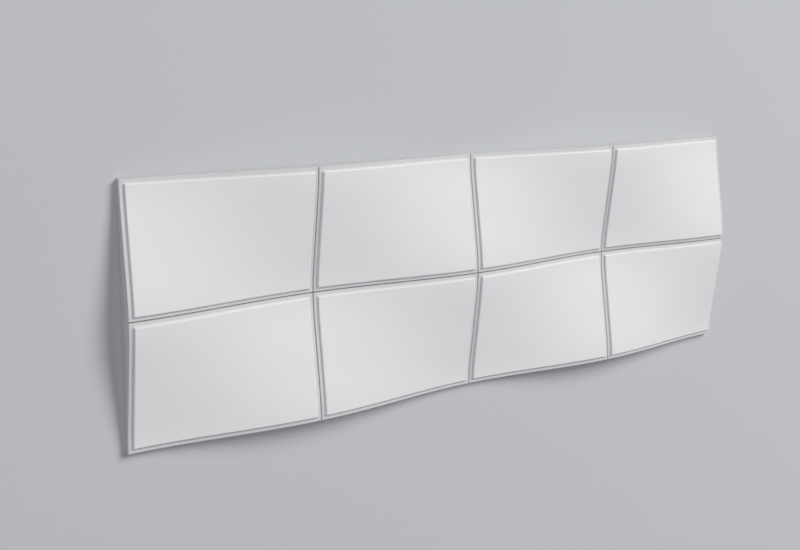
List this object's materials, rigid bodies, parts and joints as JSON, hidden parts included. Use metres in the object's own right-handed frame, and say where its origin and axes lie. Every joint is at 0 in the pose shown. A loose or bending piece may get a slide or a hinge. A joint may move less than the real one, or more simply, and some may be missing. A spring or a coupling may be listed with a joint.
{
  "type": "3d wall panel",
  "caption": "Moulded white wall panel with a flat back and a waved face, divided by grooves into a grid of raised, twisted rectangular fields with stepped edges.",
  "frame": {"origin": "centre of the flat back, on the surface that the panel lies on", "axes": "+X along the panel's length, +Y up the panel as it hangs on a wall, +Z out of its face, away from the wall"},
  "size_m": [1.135, 0.38, 0.037],
  "materials": {
    "white_moulding": "primed satin white moulded polyurethane"
  },
  "bodies": {
    "root": {"wall_panel": "white_moulding"}
  },
  "joints": []
}
